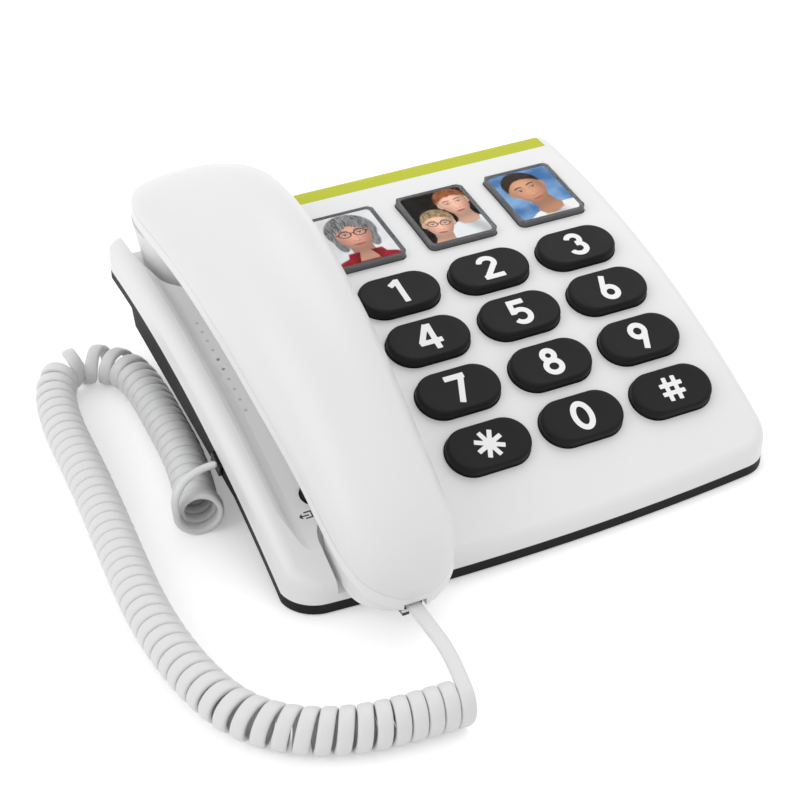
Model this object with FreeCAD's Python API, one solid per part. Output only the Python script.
import FreeCAD, Part
import math
import os

# Corded desk phone: a curved wedge base with large keys, three photo keys and a
# cradle on the left that holds the handset, joined to the base by a curly cord.
# Millimetres. X runs to the right, Y to the back and Z up.

V = FreeCAD.Vector
X_AXIS = V(1, 0, 0)
Y_AXIS = V(0, 1, 0)
Z_AXIS = V(0, 0, 1)

# Base outline and side profile
base_width = 190.0
base_depth = 168.6
front_bow = 5.2
front_corner_radius = 13.0
back_corner_radius = 6.0
deck_front_height = 12.0
deck_back_height = 55.8
deck_rise = 10.6
skirt_depth = 12.0
front_seam_height = 3.9
edge_roll = 5.0
back_overhang = 2.4
casing_wall = 2.4
work_height = 90.0

# Bottom cover: a rim that follows the seam, a deeper tray and a foot
cover_wall = 2.2
rim_depth = 3.5
tray_inset = 0.8
tray_rear_bottom_y = 59.9
tray_rear_bottom_z = 30.9
tray_bottom_slope = 0.165
tray_rear_top_y = 64.9
tray_front_y = -40.0
foot_width = 136.0
foot_front_y = -62.0
foot_rear_y = 50.0

# Rubber feet
pad_radius = 4.6
pad_thickness = 1.2
pad_stand_off = 0.5
front_pad_x = 66.0
front_pad_y = -79.5
rear_pad_x = 58.0
rear_pad_y = 40.0

# Handset cradle
cradle_x = -62.0
trough_left_reach = 24.2
trough_right_reach = 22.5
trough_left = cradle_x - trough_left_reach
trough_right = cradle_x + trough_right_reach
trough_depth = 3.2
trough_slope_width = 7.0
trough_rim_lift = 0.06
trough_ramp_y = -57.0
trough_ramp_radius = 60.0
trough_ramp_turn = 24.0
bowl_y = 70.0
bowl_radius = 27.4
bowl_depth = 10.2
pocket_slope = 21.0
pocket_ref_y = -88.0
pocket_ref_z = 6.2
pocket_clearance = 2.0
pocket_wall = 2.0
seat_gap = 0.3

# Dialling keys, placed along the deck from its front edge
key_columns = 3
key_rows = 4
key_pitch_x = 37.3
key_pitch_s = 24.26
keypad_x = 28.0
first_row_s = 101.6
key_length = 31.9
key_width = 18.3
key_height = 3.6
key_edge_round = 1.5
key_dish_radius = 190.0
key_dish_depth = 0.35
key_clearance = 0.4
key_travel = 1.5
flange_margin = 1.4
flange_thickness = 1.2
flange_gap = 0.3

# Photo keys
photo_row_s = 136.5
photo_pitch_x = 38.7
photo_width = 28.6
photo_depth = 32.6
photo_corner = 2.4
photo_frame_height = 1.7
photo_lens_thickness = 1.8
photo_lens_bevel = 1.1
photo_card_margin = 1.6
photo_card_thickness = 0.5
photo_card_gap = 0.1
photo_flange_gap = 0.8

# Small round key in the cradle
round_key_x = -73.8
round_key_y = -54.2
round_key_radius = 3.9
round_key_height = 1.4
round_flange_gap = 1.1

# Keypad mat and the two boards
mat_thickness = 1.2
mat_margin = 3.0
board_thickness = 1.6
board_margin = 5.6
board_boss_radius = 2.4
main_board_length = 112.0
main_board_width = 84.0
main_board_y = -8.0
post_height = 4.0
post_radius = 3.0
post_inset = 6.0

# Ringer under the row of dots
dot_count = 10
dot_x = -81.5
dot_first_y = 26.9
dot_last_y = -17.0
dot_radius = 0.65
dot_depth = 0.6
open_dots = (4, 5)
ringer_radius = 9.0
ringer_thickness = 0.8
ringer_seat = 0.6
ringer_rim = 1.0
ringer_clearance = 0.15

# Accent strip along the back edge of the deck
strip_left = -34.0
strip_right = 89.5
strip_front_y = 75.4
strip_thickness = 1.2
strip_back_drop = 6.5

# Screws
screw_radius = 1.2
screw_head_radius = 2.5
screw_head_height = 1.6
screw_grip = 4.5
screw_hole_clearance = 0.3
screw_seat = 0.05
boss_radius = 3.0
cover_screw_sites = ((-87.5, -60.0), (86.5, -60.0), (86.5, 70.0), (-16.0, 72.0))

# Hook switch under the earpiece bowl
hook_y = 52.0
hook_radius = 3.4
hook_clearance = 0.3
hook_travel = 4.0
hook_flange_radius = 4.6
hook_flange_thickness = 1.2
switch_length = 16.0
switch_width = 8.0

# Sockets and plugs
plug_width = 7.6
plug_height = 4.6
plug_length = 12.5
plug_reach = 2.5
plug_clearance = 0.2
socket_seat = 0.1
latch_width = 2.4
latch_length = 9.0
latch_drop = 1.2
socket_wall = 1.2
base_socket_y = -27.1
line_socket_x = 20.0
line_socket_width = 16.0
line_socket_height = 12.0
line_socket_depth = 15.0
line_mouth_width = 10.0
line_mouth_height = 7.0
line_mouth_depth = 11.0

# Handset plan, seam and crown, as smooth functions of the place along Y
handset_front_y = -110.5
handset_back_y = 99.3
front_half_width = 18.0
middle_half_width = 25.2
back_half_width = 27.5
front_round_length = 15.0
back_round_length = 41.6
seam_height = 65.6
seam_slope = 0.242
seam_sag = 0.00221
seam_skew = 0.0000033
crown_height = 26.8
crown_slope = -0.07
crown_sag = 0.0015
front_crown_power = 0.81
back_crown_power = 0.38
handset_wall = 2.2
seam_gap = 0.2
seam_band = 3.4
lower_depth = 6.5
lower_squareness = 3.0
ear_cup_bottom_radius = 22.0
ear_cup_top_radius = 25.8
ear_cup_top = 10.5
mouth_cup_half_width = 15.5
mouth_cup_back_y = -58.0
mouth_cup_front_y = -104.5
mouth_cup_floor_z = 9.0
handset_plug_x = -63.3
handset_plug_z = 13.7

# Inside the handset
ear_capsule_radius = 17.0
ear_capsule_thickness = 6.0
mouth_capsule_radius = 5.0
mouth_capsule_thickness = 4.0
mouth_capsule_y = -71.0
sound_hole_radius = 1.2
sound_ring_radius = 7.0
sound_ring_count = 8
mouth_ring_radius = 2.6
mouth_ring_count = 4
weight_length = 48.0
weight_width = 16.0
weight_thickness = 6.0
handset_screw_ys = (-42.0, 40.0)
handset_boss_radius = 3.2

# Curly cord: the axis of the coil on the table, from the handset end to the base
curl_wire = 4.1
curl_radius = 5.6
end_curl_radius = 8.3
curl_pitch = 5.1
cord_lift = 0.05
coil_route = (
    (-66.4, -148.6), (-80.0, -148.0), (-100.0, -145.5), (-118.5, -137.0), (-131.0, -122.5),
    (-137.0, -100.0), (-139.0, -72.0), (-137.0, -42.0), (-133.8, -10.0), (-131.8, 18.0),
    (-130.5, 44.0), (-126.5, 66.0), (-118.0, 78.5), (-106.0, 78.0), (-96.0, 68.0),
    (-94.8, 50.0), (-96.0, 28.0), (-97.5, 6.0), (-101.0, -12.0), (-104.8, -28.0),
)


# Deck: an arc in the side view, from the front edge to the back edge
chord_y = base_depth
chord_z = deck_back_height - deck_front_height
chord = math.hypot(chord_y, chord_z)
deck_radius = chord * chord / (8 * deck_rise) + deck_rise / 2
chord_angle = math.atan2(chord_z, chord_y)
deck_half_angle = math.asin(chord / 2 / deck_radius)
deck_centre_y = math.sin(chord_angle) * (deck_radius - deck_rise)
base_back_y = base_depth / 2 + back_overhang
deck_centre_z = (deck_front_height + deck_back_height) / 2 - math.cos(chord_angle) * (deck_radius - deck_rise)


def deck_height(y, offset=0.0):
    """Height of the surface that lies offset above the deck, at the place y."""
    reach = deck_radius + offset
    return deck_centre_z + math.sqrt(reach * reach - (y - deck_centre_y) ** 2)


def deck_frame(x, y, offset=0.0):
    """Placement on the deck at x, y, with its Z axis along the deck's normal."""
    lean = math.asin((y - deck_centre_y) / deck_radius)
    turn = FreeCAD.Rotation(X_AXIS, -math.degrees(lean))
    foot = V(x, y, deck_height(y))
    return FreeCAD.Placement(foot + turn.multVec(V(0, 0, offset)), turn)


def deck_y(s):
    """Place along Y of a point s along the deck from its front edge."""
    front_lean = chord_angle + deck_half_angle
    return deck_centre_y - deck_radius * math.sin(front_lean - s / deck_radius)


def under_deck(offset):
    """Everything below the surface that lies offset above the deck."""
    start = V(-base_width, deck_centre_y, deck_centre_z)
    return Part.makeCylinder(deck_radius + offset, 2 * base_width, start, X_AXIS)


def box(x0, x1, y0, y1, z0, z1):
    """Box between two corners."""
    return Part.makeBox(x1 - x0, y1 - y0, z1 - z0, V(x0, y0, z0))


def raised(height):
    """Placement that lifts a shape by the height."""
    return FreeCAD.Placement(V(0, 0, height), FreeCAD.Rotation())


def placed(shape, placement):
    """Copy of a shape made about the origin, moved to a placement."""
    copy = shape.copy()
    copy.Placement = placement.multiply(copy.Placement)
    return copy


def fused(shapes):
    """Union of a list of shapes as one clean solid."""
    body = shapes[0]
    for shape in shapes[1:]:
        body = body.fuse(shape)
    return body.removeSplitter()


def cut_all(body, tools):
    """Body with every tool taken out of it."""
    for tool in tools:
        body = body.cut(tool)
    return body


def side_slab(points, half_width):
    """Solid of a side-view outline, given as y, z pairs, across the width."""
    wire = Part.makePolygon([V(-half_width, y, z) for y, z in points + points[:1]])
    return Part.Face(wire).extrude(V(2 * half_width, 0, 0))


def plan_prism(inset, z0, z1):
    """Upright prism on the base's plan outline, drawn in by inset."""
    half = base_width / 2 - inset
    back = base_back_y - inset
    front = -base_depth / 2 + inset
    bow = front_bow
    edges = [
        Part.Arc(V(-half, front, z0), V(0, front - bow, z0), V(half, front, z0)).toShape(),
        Part.makeLine(V(half, front, z0), V(half, back, z0)),
        Part.makeLine(V(half, back, z0), V(-half, back, z0)),
        Part.makeLine(V(-half, back, z0), V(-half, front, z0)),
    ]
    prism = Part.Face(Part.Wire(edges)).extrude(V(0, 0, z1 - z0))
    upright = [e for e in prism.Edges if abs(e.BoundBox.ZLength - (z1 - z0)) < 1e-6]
    front_edges = [e for e in upright if e.CenterOfMass.y < 0]
    prism = prism.makeFillet(front_corner_radius - inset, front_edges)
    upright = [e for e in prism.Edges if abs(e.BoundBox.ZLength - (z1 - z0)) < 1e-6]
    back_edges = [e for e in upright if e.CenterOfMass.y > back - 1e-3]
    return prism.makeFillet(back_corner_radius - inset, back_edges)


def top_edges(solid, offset):
    """Edges of a solid that lie on the surface offset above the deck."""
    picked = []
    for edge in solid.Edges:
        middle = edge.valueAt((edge.FirstParameter + edge.LastParameter) / 2)
        ends = [v.Point for v in edge.Vertexes] + [middle]
        gaps = [abs(math.hypot(p.y - deck_centre_y, p.z - deck_centre_z) - deck_radius - offset) for p in ends]
        if max(gaps) < 1e-3:
            picked.append(edge)
    return picked


def crowned_body(inset, floor_z):
    """Base body under the deck with its top edges rolled over, drawn in by inset."""
    body = plan_prism(inset, floor_z, work_height).common(under_deck(-inset))
    return body.makeFillet(edge_roll - inset, top_edges(body, -inset))


def obround(length, width, z0, z1):
    """Upright slab with round ends, its length along X, about the origin."""
    radius = width / 2
    half = length / 2 - radius
    edges = [
        Part.makeLine(V(-half, -radius, z0), V(half, -radius, z0)),
        Part.Arc(V(half, -radius, z0), V(half + radius, 0, z0), V(half, radius, z0)).toShape(),
        Part.makeLine(V(half, radius, z0), V(-half, radius, z0)),
        Part.Arc(V(-half, radius, z0), V(-half - radius, 0, z0), V(-half, -radius, z0)).toShape(),
    ]
    return Part.Face(Part.Wire(edges)).extrude(V(0, 0, z1 - z0))


def photo_slab(margin, corner, z0, z1):
    """Upright slab with rounded corners on a photo key's outline, grown by margin."""
    half_x = photo_width / 2 + margin
    half_y = photo_depth / 2 + margin
    slab = box(-half_x, half_x, -half_y, half_y, z0, z1)
    upright = [e for e in slab.Edges if e.BoundBox.ZLength > 1e-6]
    return slab.makeFillet(corner, upright)


def rod(radius, z0, z1):
    """Upright cylinder on the Z axis."""
    return Part.makeCylinder(radius, z1 - z0, V(0, 0, z0), Z_AXIS)


def screw(head_z, tip_z):
    """Screw on the Z axis with a round head; the head lies on the far side of the tip."""
    side = 1.0 if tip_z > head_z else -1.0
    head = rod(screw_head_radius, min(head_z, head_z - side * screw_head_height),
               max(head_z, head_z - side * screw_head_height))
    shank = rod(screw_radius, min(head_z, tip_z), max(head_z, tip_z))
    return fused([head, shank])


# Levels below the deck that stack up under the keys
flange_top = -casing_wall - flange_gap
flange_bottom = flange_top - flange_thickness
mat_top = flange_bottom - key_travel - flange_gap
board_top = mat_top - mat_thickness
board_bottom = board_top - board_thickness
rim_floor = -skirt_depth - rim_depth + cover_wall
trough_under = -trough_depth - casing_wall


def key_sites():
    """Placement on the deck of each dialling key, row by row from the back."""
    sites = []
    for row in range(key_rows):
        for column in range(key_columns):
            x = keypad_x + (column - 1) * key_pitch_x
            sites.append(deck_frame(x, deck_y(first_row_s - row * key_pitch_s)))
    return sites


def photo_sites():
    """Placement on the deck of each photo key, from the left."""
    y = deck_y(photo_row_s)
    return [deck_frame(keypad_x + (column - 1) * photo_pitch_x, y) for column in range(key_columns)]


def board_sites():
    """Placement on the deck of the keypad board's screws."""
    half_span = key_pitch_x + key_length / 2 + board_margin
    between_rows = first_row_s - (key_rows - 1.5) * key_pitch_s
    ys = (deck_y(between_rows), deck_y(photo_row_s))
    return [deck_frame(keypad_x + side * half_span, y) for y in ys for side in (-1, 1)]


def deck_sheet(margin, top, bottom):
    """Curved sheet under the keys, between two offsets from the deck."""
    half_span = key_pitch_x + key_length / 2 + margin
    front = deck_y(first_row_s - (key_rows - 1) * key_pitch_s - key_width / 2 - mat_margin)
    back = deck_y(photo_row_s + photo_depth / 2 + mat_margin)
    block = box(keypad_x - half_span, keypad_x + half_span, front, back, 0, work_height)
    return block.common(under_deck(top)).cut(under_deck(bottom))


# Handset form
handset_middle_y = (handset_front_y + handset_back_y) / 2
handset_half_length = (handset_back_y - handset_front_y) / 2


def end_round(y, inset=0.0):
    """Share of the full width that the rounded ends leave at the place y."""
    front_run = handset_front_y + front_round_length - y
    back_run = y - handset_back_y + back_round_length
    if front_run > 0:
        return math.sqrt(max(0.0, 1 - (front_run / (front_round_length - inset)) ** 2))
    if back_run > 0:
        return math.sqrt(max(0.0, 1 - (back_run / (back_round_length - inset)) ** 2))
    return 1.0


def half_width(y):
    """Half width of the handset before its ends are rounded."""
    t = (y - handset_middle_y) / handset_half_length
    taper = (back_half_width - front_half_width) / 2
    waist = (back_half_width + front_half_width) / 2 - middle_half_width
    return middle_half_width + taper * t + waist * t * t


def seam_z(y):
    """Height of the seam between the handset's two shells."""
    return seam_height + seam_slope * y - seam_sag * y * y - seam_skew * y ** 3


def seam_rise(y):
    """Slope of the seam along Y."""
    return seam_slope - 2 * seam_sag * y - 3 * seam_skew * y * y


def crown(y):
    """Height of the handset's back above its seam, before its ends are rounded."""
    return crown_height + crown_slope * y - crown_sag * y * y


def handset_stations(inset):
    """Places along Y of the handset's cross sections, closer together at the ends."""
    shares = (0.03, 0.1, 0.25, 0.5, 1.0)
    front = [handset_front_y + inset + s * (front_round_length - inset) for s in shares]
    back = [handset_back_y - inset - s * (back_round_length - inset) for s in reversed(shares)]
    count = 6
    step = (back[0] - front[-1]) / count
    middle = [front[-1] + step * i for i in range(1, count)]
    return front + middle + back


def arch(y, wide, z0, rise, power):
    """Closed section across the handset: a straight base and a smooth arch."""
    points = []
    count = 10
    for i in range(count + 1):
        angle = math.pi * i / count
        side = math.copysign(abs(math.cos(angle)) ** power, math.cos(angle))
        points.append(V(cradle_x + wide * side, y, z0 + rise * math.sin(angle) ** power))
    curve = Part.BSplineCurve()
    curve.interpolate(points)
    return Part.Wire([curve.toShape(), Part.makeLine(points[-1], points[0])])


def upper_form(inset, below):
    """Handset body above the seam, drawn in by inset and reaching below the seam."""
    sections = []
    for y in handset_stations(inset):
        share = end_round(y, inset)
        power = front_crown_power if y < 0 else back_crown_power
        rise = crown(y) * share ** power - inset - band_height(y, inset)
        sections.append(arch(y, (half_width(y) - inset) * share, split_z(y, inset) - below, rise + below, 1.0))
    return Part.makeLoft(sections, True, False)


def lower_form(inset, above):
    """Handset body below the seam with its upright band, drawn in by inset and reaching above."""
    sections = []
    for y in handset_stations(inset):
        share = end_round(y, inset)
        depth = (lower_depth - inset) * math.sqrt(share)
        wide = (half_width(y) - inset) * share
        top = split_z(y, inset) - seam_gap + above
        bowl = arch(y, wide, seam_z(y), -depth, 2 / lower_squareness).Edges[0]
        right, left = V(cradle_x + wide, y, top), V(cradle_x - wide, y, top)
        ends = [V(cradle_x + wide, y, seam_z(y)), V(cradle_x - wide, y, seam_z(y))]
        sections.append(Part.Wire([bowl, Part.makeLine(ends[1], left), Part.makeLine(left, right),
                                   Part.makeLine(right, ends[0])]))
    return Part.makeLoft(sections, True, False)


def band_height(y, inset=0.0):
    """Height of the lower shell's upright band, less at the rounded ends."""
    return seam_band * math.sqrt(end_round(y, inset))


def split_z(y, inset=0.0):
    """Height at which the two shells part, above the widest line by the band."""
    return seam_z(y) + band_height(y, inset)


def below_seam():
    """Block under the handset's widest line, from the table up."""
    half = 2 * back_half_width
    sections = []
    for y in handset_stations(0.0):
        corners = [V(cradle_x - half, y, 0), V(cradle_x + half, y, 0),
                   V(cradle_x + half, y, seam_z(y) - seam_gap), V(cradle_x - half, y, seam_z(y) - seam_gap)]
        sections.append(Part.makePolygon(corners + corners[:1]))
    return Part.makeLoft(sections, True, False)


ear_frame = deck_frame(cradle_x, bowl_y)
ear_floor = -bowl_depth + seat_gap
pocket_turn = FreeCAD.Rotation(X_AXIS, pocket_slope)
pocket_point = V(cradle_x, pocket_ref_y, pocket_ref_z)


def above_pocket(lift):
    """Everything above the sloping floor of the mouthpiece pocket, raised by lift."""
    block = box(-base_width, base_width, -base_width, base_width, lift, 2 * base_width)
    return placed(block, FreeCAD.Placement(pocket_point, pocket_turn))


def mouth_slab(margin, z0, z1):
    """Upright obround round the mouthpiece, grown by margin."""
    length = mouth_cup_back_y - mouth_cup_front_y + 2 * margin
    slab = obround(length, 2 * (mouth_cup_half_width + margin), z0, z1)
    centre = V(cradle_x, (mouth_cup_back_y + mouth_cup_front_y) / 2, 0)
    return placed(slab, FreeCAD.Placement(centre, FreeCAD.Rotation(Z_AXIS, 90)))


def ear_cone(inset):
    """Earpiece cup as a cone about the normal of the bowl, drawn in by inset."""
    bottom = ear_floor + inset
    cone = Part.makeCone(ear_cup_bottom_radius - inset, ear_cup_top_radius - inset,
                         ear_cup_top - bottom, V(0, 0, bottom), Z_AXIS)
    return placed(cone, ear_frame)


def mouth_cup(inset):
    """Mouthpiece cup: an obround with a sloping floor that levels out in front."""
    slab = mouth_slab(-inset, mouth_cup_floor_z + inset, work_height)
    return slab.common(above_pocket(seat_gap + inset))


def ring_of_holes(placement, radius, ring_radius, count, z0, z1):
    """One hole on the axis and a ring of holes round it."""
    holes = [placed(rod(radius, z0, z1), placement)]
    for i in range(count):
        angle = 2 * math.pi * i / count
        offset = FreeCAD.Placement(V(ring_radius * math.cos(angle), ring_radius * math.sin(angle), 0),
                                   FreeCAD.Rotation())
        holes.append(placed(rod(radius, z0, z1), placement.multiply(offset)))
    return holes


mouth_frame_z = pocket_ref_z + math.tan(math.radians(pocket_slope)) * (mouth_capsule_y - pocket_ref_y)
mouth_frame = FreeCAD.Placement(V(cradle_x, mouth_capsule_y, mouth_frame_z), pocket_turn)


def handset_plug_box(grow, y0, y1):
    """Room of the handset's plug between two places along Y, grown by a clearance."""
    half = plug_width / 2 + grow
    return box(handset_plug_x - half, handset_plug_x + half, y0, y1,
               handset_plug_z - plug_height / 2 - grow, handset_plug_z + plug_height / 2 + grow)


plug_outer_y = mouth_cup_front_y - plug_reach
plug_inner_y = plug_outer_y + plug_length


def latch_box(grow):
    """Plug latch beside the lower edge of the handset's plug, grown by a clearance."""
    left = handset_plug_x - plug_width / 2
    bottom = handset_plug_z - plug_height / 2 - latch_drop
    return box(left - grow, left + latch_width + grow,
               plug_outer_y - latch_drop, plug_outer_y + latch_length + grow,
               bottom - grow, bottom + latch_drop + grow)


def handset_parts():
    """Every piece of the handset."""
    seam_block = below_seam()
    overlap = handset_wall
    outer = upper_form(0.0, 0.0)
    hollow = upper_form(handset_wall, overlap)
    tray = lower_form(0.0, 0.0)
    tray_hollow = lower_form(handset_wall, overlap)
    cups = fused([ear_cone(0.0), mouth_cup(0.0)]).common(seam_block)
    inner = fused([tray, cups])
    inner = cut_all(inner, [tray_hollow, ear_cone(handset_wall), mouth_cup(handset_wall)])
    inner = inner.cut(handset_plug_box(plug_clearance, handset_front_y - plug_reach, plug_inner_y))
    inner = inner.cut(latch_box(plug_clearance))
    inner = cut_all(inner, ring_of_holes(ear_frame, sound_hole_radius, sound_ring_radius, sound_ring_count,
                                         ear_floor - 1, ear_floor + handset_wall + 1))
    inner = cut_all(inner, ring_of_holes(mouth_frame, sound_hole_radius / 2, mouth_ring_radius, mouth_ring_count,
                                         seat_gap - 1, seat_gap + handset_wall + 1))
    shell = outer.cut(hollow)
    column = upper_form(0.0, seam_band + lower_depth)
    screws = []
    for y in handset_screw_ys:
        floor = seam_z(y) - lower_depth + handset_wall
        lean = FreeCAD.Rotation(X_AXIS, math.degrees(math.atan(seam_rise(y))))
        site = FreeCAD.Placement(V(cradle_x, y, floor), lean)
        boss = placed(rod(handset_boss_radius, seat_gap, work_height), site).common(column)
        shell = shell.fuse(boss)
        shell = shell.cut(placed(rod(screw_radius, 0, screw_grip + overlap), site))
        inner = inner.cut(placed(rod(screw_radius + screw_hole_clearance, -2 * handset_wall, handset_wall), site))
        screws.append(placed(screw(-handset_wall - seat_gap, screw_grip), site))
    socket = box(handset_plug_x - plug_width / 2 - socket_wall, handset_plug_x + plug_width / 2 + socket_wall,
                 mouth_cup_front_y + 2 * handset_wall - 1, plug_inner_y + socket_wall,
                 mouth_cup_floor_z + handset_wall, handset_plug_z + plug_height / 2 + socket_wall)
    socket = socket.common(mouth_cup(handset_wall + socket_seat))
    socket = cut_all(socket, [handset_plug_box(plug_clearance, plug_outer_y, plug_inner_y + plug_clearance),
                              latch_box(plug_clearance)])
    ear_capsule = placed(rod(ear_capsule_radius, 0, ear_capsule_thickness),
                         ear_frame.multiply(raised(ear_floor + handset_wall)))
    mouth_capsule = placed(rod(mouth_capsule_radius, 0, mouth_capsule_thickness),
                           mouth_frame.multiply(raised(seat_gap + handset_wall)))
    bar = box(-weight_width / 2, weight_width / 2, -weight_length / 2, weight_length / 2, 0, weight_thickness)
    bar_lean = FreeCAD.Rotation(X_AXIS, math.degrees(math.atan(seam_rise(0))))
    bar_z = seam_z(0) - lower_depth + handset_wall + seat_gap
    bar = placed(bar, FreeCAD.Placement(V(cradle_x, 0, bar_z), bar_lean))
    return {
        "handset_outer_shell": shell,
        "handset_inner_shell": inner,
        "earpiece_capsule": ear_capsule,
        "microphone_capsule": mouth_capsule,
        "handset_weight": bar,
        "handset_jack": socket,
        "handset_screws": Part.Compound(screws),
    }


# Base sub-assembly
hook_top = ear_floor - seat_gap
hook_frame = deck_frame(cradle_x, hook_y)
base_socket_frame = deck_frame(0, base_socket_y)
base_plug_level = -skirt_depth - seat_gap - plug_height / 2
base_plug_end_x = -base_width / 2 - plug_reach / 2


def base_plug_box(grow, x1):
    """Room of the base's plug, from its outer end to the place x1, grown by a clearance."""
    block = box(base_plug_end_x, x1, -plug_width / 2 - grow, plug_width / 2 + grow,
                base_plug_level - plug_height / 2 - grow, base_plug_level + plug_height / 2 + grow)
    return placed(block, base_socket_frame)


def cover_screw_frames():
    """Placement on the deck above each screw of the bottom cover."""
    return [deck_frame(x, y) for x, y in cover_screw_sites]


def strip_zone():
    """Zone of the accent strip at the back edge of the deck."""
    return box(strip_left, strip_right, strip_front_y, base_back_y,
               deck_back_height - strip_back_drop, work_height)


def make_strip():
    """Accent strip let into the back edge of the deck."""
    skin = crowned_body(0.0, front_seam_height).cut(crowned_body(strip_thickness, front_seam_height))
    return skin.common(strip_zone())


def dot_places():
    """Placement on the cradle floor of each ringer dot."""
    step = (dot_last_y - dot_first_y) / (dot_count - 1)
    return [deck_frame(dot_x, dot_first_y + step * i) for i in range(dot_count)]


def ringer_frame():
    """Placement of the ringer, in the middle of the open dots."""
    step = (dot_last_y - dot_first_y) / (dot_count - 1)
    middle = sum(open_dots) / len(open_dots)
    return deck_frame(dot_x, dot_first_y + step * middle)


def bowl_slab(radius):
    """Upright slab of the earpiece bowl, round in front and open to the back."""
    disc = Part.makeCylinder(radius, work_height, V(cradle_x, bowl_y, 0), Z_AXIS)
    return disc.fuse(box(cradle_x - radius, cradle_x + radius, bowl_y, base_depth, 0, work_height))


def soft_side(x, lean):
    """Two arcs of the trough's side about the place x, falling towards lean, as edges."""
    run = trough_slope_width / 2
    drop = (trough_rim_lift + trough_depth) / 2
    radius = (run * run + drop * drop) / (2 * drop)
    half_turn = math.asin(run / radius) / 2
    out = radius * math.sin(half_turn)
    fall = radius * (1 - math.cos(half_turn))
    rim = V(x - lean * run, 0, trough_rim_lift)
    middle = V(x, 0, trough_rim_lift - drop)
    floor = V(x + lean * run, 0, -trough_depth)
    upper = Part.Arc(rim, V(rim.x + lean * out, 0, rim.z - fall), middle)
    lower = Part.Arc(middle, V(floor.x - lean * out, 0, floor.z + fall), floor)
    return rim, floor, [upper.toShape(), lower.toShape()]


def make_trough():
    """Room of the cradle's trough: soft sides along the deck and a ramp at its front end."""
    left_rim, left_floor, left = soft_side(trough_left, 1)
    right_rim, right_floor, right = soft_side(trough_right, -1)
    roof = V(0, 0, bowl_depth)
    edges = left + [Part.makeLine(left_floor, right_floor)] + right
    edges += [Part.makeLine(right_rim, right_rim + roof), Part.makeLine(right_rim + roof, left_rim + roof),
              Part.makeLine(left_rim + roof, left_rim)]
    section = Part.Face(Part.Wire(Part.__sortEdges__(edges)))
    lean = math.asin((trough_ramp_y - deck_centre_y) / deck_radius)
    out = V(0, math.sin(lean), math.cos(lean))
    centre = V(0, deck_centre_y, deck_centre_z)
    turn = FreeCAD.Rotation(X_AXIS, -math.degrees(lean))
    section = placed(section, FreeCAD.Placement(centre + out * deck_radius, turn))
    sweep = math.degrees(math.asin((base_depth - deck_centre_y) / deck_radius) - lean)
    run = section.revolve(centre, X_AXIS, -sweep)
    hub = centre + out * (deck_radius - trough_depth + trough_ramp_radius)
    ramp = section.revolve(hub, X_AXIS, -trough_ramp_turn)
    return run.fuse(ramp)


def make_top_casing(strip):
    """Upper casing of the base with its cradle, key holes and bosses."""
    body = crowned_body(0.0, front_seam_height)
    trough = make_trough()
    bowl = bowl_slab(bowl_radius).cut(under_deck(-bowl_depth))
    pocket = mouth_slab(pocket_clearance, 0, work_height).common(above_pocket(0.0))
    body = cut_all(body, [trough, bowl, pocket])
    hollow = crowned_body(casing_wall, -work_height)
    ledge = box(trough_left - casing_wall, trough_right + casing_wall, -base_depth, base_depth, 0, work_height)
    hollow = hollow.cut(ledge.cut(under_deck(trough_under)))
    hollow = hollow.cut(bowl_slab(bowl_radius + casing_wall).cut(under_deck(-skirt_depth)))
    pocket_shell = mouth_slab(pocket_clearance + casing_wall, 0, work_height).common(above_pocket(-pocket_wall))
    hollow = hollow.cut(pocket_shell)
    body = body.cut(hollow).cut(under_deck(-skirt_depth))
    bosses = []
    for frame in cover_screw_frames():
        bosses.append(placed(rod(boss_radius, rim_floor, -casing_wall / 2), frame))
    for frame in board_sites():
        bosses.append(placed(rod(board_boss_radius, board_top, -casing_wall / 2), frame))
    rim = rod(ringer_radius + ringer_clearance + ringer_rim, trough_under - ringer_seat - ringer_thickness,
              trough_under + casing_wall / 2)
    rim = rim.cut(rod(ringer_radius + ringer_clearance, trough_under - work_height, trough_under - ringer_seat))
    rim = rim.cut(rod(ringer_radius - ringer_rim, trough_under - work_height, trough_under))
    bosses.append(placed(rim, ringer_frame()))
    inside = crowned_body(casing_wall / 2, -work_height)
    lowered = ledge.cut(under_deck(-trough_depth - casing_wall / 2))
    inside = inside.cut(lowered)
    body = fused([body] + [boss.common(inside) for boss in bosses])
    pilots = [placed(rod(screw_radius, -work_height, rim_floor + screw_grip), f) for f in cover_screw_frames()]
    pilots += [placed(rod(screw_radius, -work_height, -casing_wall), f) for f in board_sites()]
    holes = []
    for frame in key_sites():
        holes.append(placed(obround(key_length + 2 * key_clearance, key_width + 2 * key_clearance,
                                    flange_top, key_height), frame))
    for frame in photo_sites():
        holes.append(placed(photo_slab(key_clearance, photo_corner + key_clearance,
                                       -casing_wall - photo_flange_gap, key_height), frame))
    holes.append(placed(rod(round_key_radius + key_clearance, 2 * trough_under, 0),
                        deck_frame(round_key_x, round_key_y)))
    holes.append(placed(rod(hook_radius + hook_clearance, -2 * skirt_depth, 0), hook_frame))
    for i, frame in enumerate(dot_places()):
        reach = 2 * trough_under if i in open_dots else -trough_depth - dot_depth
        holes.append(placed(rod(dot_radius, reach, 0), frame))
    holes.append(base_plug_box(plug_clearance, cradle_x))
    return cut_all(body, pilots + holes + [strip])


def tray_line(y, lift=0.0):
    """Height of the tray's sloping bottom at the place y."""
    return tray_rear_bottom_z + tray_bottom_slope * (y - tray_rear_bottom_y) + lift


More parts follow.
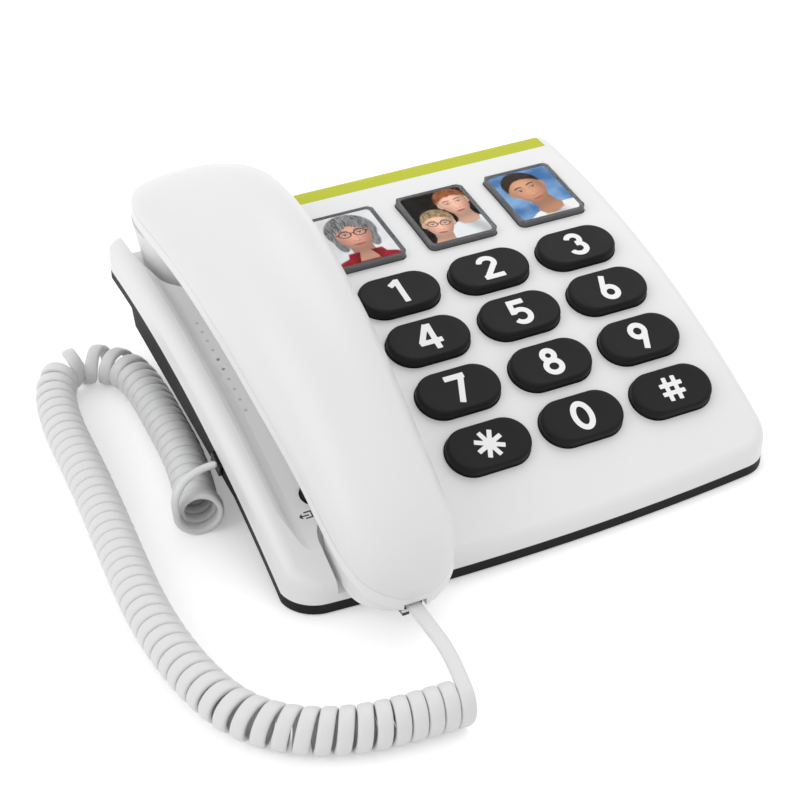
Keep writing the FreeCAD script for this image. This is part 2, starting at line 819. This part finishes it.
def tray_outline(inset):
    """Side outline of the tray as y, z pairs, drawn in by inset."""
    rear_top = deck_height(tray_rear_top_y, -skirt_depth)
    return [
        (tray_front_y + inset, tray_line(tray_front_y + inset, inset)),
        (tray_rear_bottom_y - inset, tray_line(tray_rear_bottom_y - inset, inset)),
        (tray_rear_top_y - inset, rear_top),
        (tray_rear_top_y - inset, work_height),
        (tray_front_y + inset, work_height),
    ]


def cover_zone(inset):
    """Room of the bottom cover under the seam, drawn in by inset."""
    seam = under_deck(-skirt_depth).fuse(
        box(-base_width, base_width, -base_width, base_width, -base_width, front_seam_height))
    floor_z = inset if inset > 0 else 0.0
    rim = plan_prism(inset, floor_z, work_height).cut(under_deck(-skirt_depth - rim_depth + inset))
    tray = side_slab(tray_outline(inset), base_width / 2 - tray_inset - inset)
    foot = box(-foot_width / 2 + inset, foot_width / 2 - inset, foot_front_y + inset, foot_rear_y - inset,
               floor_z, work_height)
    outline = plan_prism(inset, floor_z, work_height)
    return fused([rim, tray.common(outline), foot]).common(seam)


def post_sites():
    """Centres of the posts that carry the main board."""
    half_x = main_board_length / 2 - post_inset
    half_y = main_board_width / 2 - post_inset
    return [V(sx * half_x, main_board_y + sy * half_y, 0) for sx in (-1, 1) for sy in (-1, 1)]


def pad_sites():
    """Centres of the rubber feet."""
    return [V(side * front_pad_x, front_pad_y, 0) for side in (-1, 1)] + [
        V(side * rear_pad_x, rear_pad_y, 0) for side in (-1, 1)]


def make_bottom_cover():
    """Lower cover of the base: rim, tray, foot and posts in one moulding."""
    cover = cover_zone(0.0).cut(cover_zone(cover_wall))
    posts = [Part.makeCylinder(post_radius, post_height + cover_wall / 2, p + V(0, 0, cover_wall / 2), Z_AXIS)
             for p in post_sites()]
    cover = fused([cover] + posts)
    tools = [Part.makeCylinder(pad_radius, pad_thickness - pad_stand_off, p, Z_AXIS) for p in pad_sites()]
    for p in post_sites():
        grip = p + V(0, 0, cover_wall + post_height / 2)
        tools.append(Part.makeCylinder(screw_radius, screw_grip, grip, Z_AXIS))
    for frame in cover_screw_frames():
        tools.append(placed(rod(screw_radius + screw_hole_clearance, -2 * skirt_depth, rim_floor + 1), frame))
    tools.append(base_plug_box(plug_clearance, -base_width / 2 + 2 * cover_wall))
    return cut_all(cover, tools)


def boss_notches():
    """Room round the cover screws' bosses in the sheets under the keys."""
    return [placed(rod(boss_radius + screw_hole_clearance, -2 * skirt_depth, 0), f) for f in cover_screw_frames()]


def make_keypad_board():
    """Curved contact board under the keypad mat."""
    board = deck_sheet(board_margin + board_boss_radius, board_top, board_bottom)
    board = cut_all(board, boss_notches())
    tools = [placed(rod(screw_radius + screw_hole_clearance, -2 * skirt_depth, 0), f) for f in board_sites()]
    return cut_all(board, tools)


def make_main_board():
    """Flat main board on the posts of the foot."""
    level = cover_wall / 2 + post_height + cover_wall / 2
    board = box(-main_board_length / 2, main_board_length / 2, main_board_y - main_board_width / 2,
                main_board_y + main_board_width / 2, level, level + board_thickness)
    hole = screw_radius + screw_hole_clearance
    return cut_all(board, [Part.makeCylinder(hole, work_height, p, Z_AXIS) for p in post_sites()])


def make_board_screws():
    """Screws of the main board and of the keypad board."""
    top = cover_wall + post_height + board_thickness
    bottom = cover_wall + post_height / 2
    screws = [placed(screw(top, bottom), FreeCAD.Placement(p, FreeCAD.Rotation())) for p in post_sites()]
    screws += [placed(screw(board_bottom - screw_seat, -casing_wall - seat_gap), f) for f in board_sites()]
    return Part.Compound(screws)


def make_cover_screws():
    """Screws that hold the bottom cover to the casing."""
    head = -skirt_depth - rim_depth - screw_seat
    screws = [placed(screw(head, rim_floor + screw_grip - seat_gap), f) for f in cover_screw_frames()]
    return Part.Compound(screws)


def make_hook_plunger():
    """Hook plunger that the earpiece holds down."""
    flange_top_level = -skirt_depth - hook_travel - seat_gap
    plunger = fused([
        rod(hook_radius, flange_top_level - hook_flange_thickness / 2, hook_top),
        rod(hook_flange_radius, flange_top_level - hook_flange_thickness, flange_top_level),
    ])
    return placed(plunger, hook_frame)


def make_hook_switch():
    """Hook switch on the tray's floor, under the plunger."""
    top = -skirt_depth - hook_travel - hook_flange_thickness - 2 * seat_gap
    block = box(-switch_length / 2, switch_length / 2, -switch_width / 2, switch_width / 2, -work_height, top)
    block = placed(block, hook_frame)
    return block.common(cover_zone(cover_wall))


def make_base_jack():
    """Socket for the base's end of the curly cord."""
    inner_x = -base_width / 2 + tray_inset + cover_wall
    block = box(inner_x, inner_x + plug_length, -plug_width / 2 - socket_wall, plug_width / 2 + socket_wall,
                base_plug_level - plug_height / 2 - socket_wall, base_plug_level + plug_height / 2 + socket_wall)
    block = placed(block, base_socket_frame).common(cover_zone(cover_wall).fuse(
        box(inner_x, base_width, -base_width, base_width, 0, work_height).cut(under_deck(-skirt_depth))))
    return block.cut(base_plug_box(plug_clearance, base_plug_end_x + plug_length + plug_clearance))


def make_line_jack():
    """Line socket that hangs under the rear overhang and faces the back."""
    front_y = tray_rear_top_y + seat_gap
    block = box(line_socket_x - line_socket_width / 2, line_socket_x + line_socket_width / 2,
                front_y, front_y + line_socket_depth, 0, work_height)
    top = -skirt_depth - rim_depth
    block = block.common(under_deck(top)).cut(under_deck(top - line_socket_height))
    mouth_z = deck_height(front_y + line_socket_depth, top) - line_socket_height / 2
    mouth = box(line_socket_x - line_mouth_width / 2, line_socket_x + line_mouth_width / 2,
                front_y + line_socket_depth - line_mouth_depth, base_depth,
                mouth_z - line_mouth_height / 2, mouth_z + line_mouth_height / 2)
    return block.cut(mouth)


def make_key():
    """Dialling key about the origin of its place on the deck."""
    cap = obround(key_length, key_width, flange_top - flange_thickness / 2, key_height)
    rim = [e for e in cap.Edges if e.BoundBox.ZMin > key_height - 1e-6]
    cap = cap.makeFillet(key_edge_round, rim)
    dish_z = key_height - key_dish_depth + key_dish_radius
    cap = cap.cut(Part.makeSphere(key_dish_radius, V(0, 0, dish_z)))
    flange = obround(key_length + 2 * flange_margin, key_width + 2 * flange_margin, flange_bottom, flange_top)
    return fused([cap, flange])


def make_photo_key():
    """Frame, card and lens of a photo key about the origin of its place on the deck."""
    flange_level = -casing_wall - photo_flange_gap
    card_floor = photo_frame_height - photo_card_thickness - photo_card_gap
    card_corner = photo_corner - photo_card_margin / 2
    frame = fused([
        photo_slab(0.0, photo_corner, flange_level - flange_thickness / 2, photo_frame_height),
        photo_slab(flange_margin, photo_corner, flange_level - flange_thickness, flange_level),
    ])
    frame = frame.cut(photo_slab(photo_card_gap - photo_card_margin, card_corner, card_floor, work_height))
    card = photo_slab(-photo_card_margin, card_corner, card_floor, card_floor + photo_card_thickness)
    lens = photo_slab(0.0, photo_corner, photo_frame_height, photo_frame_height + photo_lens_thickness)
    rim = [e for e in lens.Edges if e.BoundBox.ZMin > photo_frame_height + photo_lens_thickness - 1e-6]
    lens = lens.makeChamfer(photo_lens_bevel, rim)
    return frame, card, lens


def make_round_key():
    """Small round key in the floor of the cradle."""
    top = round_key_height - trough_depth
    stem = rod(round_key_radius, trough_under - round_flange_gap - flange_thickness / 2, top)
    rim = [e for e in stem.Edges if e.BoundBox.ZMin > top - 1e-6]
    stem = stem.makeFillet(key_edge_round / 3, rim)
    flange = rod(round_key_radius + flange_margin, trough_under - round_flange_gap - flange_thickness,
                 trough_under - round_flange_gap)
    return placed(fused([stem, flange]), deck_frame(round_key_x, round_key_y))


def base_parts():
    """Every fixed piece of the base."""
    strip = make_strip()
    ringer = rod(ringer_radius, trough_under - ringer_seat - ringer_thickness, trough_under - ringer_seat)
    mat = cut_all(deck_sheet(mat_margin, mat_top, board_top), boss_notches())
    pads = [Part.makeCylinder(pad_radius, pad_thickness, p - V(0, 0, pad_stand_off), Z_AXIS) for p in pad_sites()]
    return {
        "base_top_casing": make_top_casing(strip),
        "base_bottom_cover": make_bottom_cover(),
        "accent_strip": strip,
        "keypad_mat": mat,
        "keypad_board": make_keypad_board(),
        "main_board": make_main_board(),
        "ringer_disc": placed(ringer, ringer_frame()),
        "hook_switch": make_hook_switch(),
        "base_handset_jack": make_base_jack(),
        "line_jack": make_line_jack(),
        "rubber_feet": Part.Compound(pads),
        "cover_screws": make_cover_screws(),
        "board_screws": make_board_screws(),
    }


def key_parts():
    """Every key: dialling keys, photo keys and the round key."""
    parts = {}
    names = ("1", "2", "3", "4", "5", "6", "7", "8", "9", "star", "0", "hash")
    key = make_key()
    for name, site in zip(names, key_sites()):
        parts["key_" + name] = placed(key, site)
    frame, card, lens = make_photo_key()
    for number, site in enumerate(photo_sites(), 1):
        parts["photo_frame_%d" % number] = placed(frame, site)
        parts["photo_card_%d" % number] = placed(card, site)
        parts["photo_lens_%d" % number] = placed(lens, site)
    parts["redial_key"] = make_round_key()
    parts["hook_plunger"] = make_hook_plunger()
    return parts


# Curly cord
def coil_axis():
    """Smooth curve of the coil's axis, led by the points of its route."""
    poles = [V(x, y, 0) for x, y in coil_route]
    spans = len(poles) - 2
    curve = Part.BSplineCurve()
    curve.buildFromPolesMultsKnots(poles, [3] + [1] * (spans - 1) + [3], list(range(spans + 1)), False, 2)
    return curve


def coil_samples(curve, count):
    """Points, headings and curvatures at even steps along the coil's axis."""
    params = curve.discretize(Number=count)
    samples = []
    for point in params:
        u = curve.parameter(point)
        heading = curve.tangent(u)[0]
        samples.append((point, heading, curve.curvature(u)))
    return samples


def coil_points():
    """Points and headings of the curly wire at every half turn, base end last."""
    curve = coil_axis()
    length = curve.length()
    count = int(length / 0.5)
    samples = coil_samples(curve, count)
    step = length / (count - 1)
    rates = [(1 - curl_radius * s[2]) / curl_pitch for s in samples]
    turns = sum(rates) * step
    whole = math.floor(turns) + 0.75
    scale = whole / turns
    phase = 0.0
    floor = -pad_stand_off + cord_lift + curl_wire / 2
    table = []
    for sample, rate in zip(samples, rates):
        table.append((phase, sample))
        phase += 2 * math.pi * rate * scale * step
    total = 2 * math.pi * whole

    def at(angle):
        index = 0
        low, high = 0, len(table) - 1
        while high - low > 1:
            index = (low + high) // 2
            if table[index][0] <= angle:
                low = index
            else:
                high = index
        share = (angle - table[low][0]) / (table[high][0] - table[low][0])
        a, b = table[low][1], table[high][1]
        point = a[0] + (b[0] - a[0]) * share
        heading = (a[1] + (b[1] - a[1]) * share).normalize()
        left = total - angle
        grow = max(0.0, 1 - left / (2 * math.pi))
        radius = curl_radius + (end_curl_radius - curl_radius) * grow * grow * (3 - 2 * grow)
        side = Z_AXIS.cross(heading)
        spoke = Z_AXIS * math.cos(angle) + side * math.sin(angle)
        return point + V(0, 0, floor + radius) + spoke * radius

    halves = int(round(2 * whole * 2)) // 2
    angles = [math.pi * i for i in range(halves + 1)]
    if total - angles[-1] > 0.1:
        angles.append(total)
    delta = 0.01
    rows = []
    for angle in angles:
        before = at(max(0.0, angle - delta))
        after = at(min(total, angle + delta))
        rows.append((at(angle), (after - before).normalize()))
    return rows


def biarc(p0, t0, p1, t1):
    """Two arcs that leave p0 along t0, meet smoothly and reach p1 along t1."""
    gap = p1 - p0
    both = t0 + t1
    a = 2 * (1 - t0.dot(t1))
    b = gap.dot(both)
    c = gap.dot(gap)
    if a < 1e-9:
        reach = c / (4 * gap.dot(t1))
    else:
        reach = (-b + math.sqrt(b * b + a * c)) / a
    joint = (p0 + p1 + (t0 - t1) * reach) * 0.5
    return [arc_from(p0, t0, joint), arc_from(p1, t1 * -1, joint, True)]


def arc_from(start, heading, end, backwards=False):
    """Arc that leaves start along heading and ends at end, or its reverse."""
    gap = end - start
    across = gap - heading * gap.dot(heading)
    if across.Length < 1e-6:
        return Part.makeLine(end, start) if backwards else Part.makeLine(start, end)
    normal = across.normalize()
    radius = gap.dot(gap) / (2 * gap.dot(normal))
    centre = start + normal * radius
    middle = (start + end) * 0.5 - centre
    if gap.dot(heading) < 0:
        middle = middle * -1
    middle = centre + middle.normalize() * radius
    arc = Part.Arc(end, middle, start) if backwards else Part.Arc(start, middle, end)
    return arc.toShape()


def cord_rows():
    """Points and headings of the whole cord, from the handset's plug to the base's plug."""
    start = V(handset_plug_x, plug_outer_y, handset_plug_z)
    lead = V(handset_plug_x, plug_outer_y - curl_wire, handset_plug_z)
    end = base_socket_frame.multVec(V(base_plug_end_x, 0, base_plug_level))
    last = end - X_AXIS * curl_wire
    rows = [(start, Y_AXIS * -1), (lead, Y_AXIS * -1)]
    rows += coil_points()
    rows += [(last, X_AXIS), (end, X_AXIS)]
    return rows


def cord_path():
    """Edges of the cord's centre line."""
    rows = cord_rows()
    edges = []
    for (p0, t0), (p1, t1) in zip(rows, rows[1:]):
        edges += biarc(p0, t0, p1, t1)
    return edges


def least_gap(edges):
    """Least clear gap of the cord to itself, measured on points."""
    points = []
    for edge in edges:
        points += edge.discretize(Number=7)[:-1]
    near = int(0.6 * 24)
    far = int(1.6 * 24)
    least = 1e9
    for i, p in enumerate(points):
        for q in points[i + near:i + far]:
            gap = p.distanceToPoint(q)
            if gap < least:
                least = gap
    for i in range(0, len(points), 8):
        for j in range(i + far, len(points), 8):
            least = min(least, points[i].distanceToPoint(points[j]))
    return least - curl_wire


def make_cord():
    """Curly cord as one unbroken tube."""
    edges = cord_path()
    arcs = [e.Curve.Radius for e in edges if isinstance(e.Curve, Part.Circle)]
    print("cord length", round(sum(e.Length for e in edges), 1), "arcs", len(arcs),
          "tightest", round(min(arcs), 2), "least gap", round(least_gap(edges), 2))
    path = Part.Wire(edges)
    ring = Part.Wire(Part.makeCircle(curl_wire / 2, edges[0].valueAt(edges[0].FirstParameter), Y_AXIS * -1))
    tube = path.makePipeShell([ring], True, False)
    print("cord volume", round(tube.Volume, 1), "expected",
          round(math.pi * curl_wire ** 2 / 4 * path.Length, 1), "valid", tube.isValid())
    return tube


def cord_parts():
    """Curly cord and its two plugs."""
    hand_plug = fused([handset_plug_box(0.0, plug_outer_y, plug_inner_y), latch_box(0.0)])
    base_plug = base_plug_box(0.0, base_plug_end_x + plug_length)
    return {
        "cord_plug_handset": hand_plug,
        "cord_plug_base": base_plug,
        "curly_cord": make_cord(),
    }


def main():
    """Build every piece, stand the phone on its feet and write the files."""
    body = {}
    body.update(base_parts())
    body.update(key_parts())
    body.update(handset_parts())
    boxes = [shape.optimalBoundingBox() for shape in body.values()]
    low = V(min(b.XMin for b in boxes), min(b.YMin for b in boxes), min(b.ZMin for b in boxes))
    high = V(max(b.XMax for b in boxes), max(b.YMax for b in boxes), max(b.ZMax for b in boxes))
    shift = V(-(low.x + high.x) / 2, -(low.y + high.y) / 2, -low.z)
    body.update(cord_parts())
    print("shift", round(shift.x, 4), round(shift.y, 4), round(shift.z, 4))
    os.makedirs("parts", exist_ok=True)
    for name, shape in body.items():
        shape = shape.copy()
        shape.translate(shift)
        shape.exportStep("parts/%s.step" % name)
        print(name, len(shape.Solids), round(shape.Volume, 1), shape.isValid())


if __name__ == "__main__":
    main()
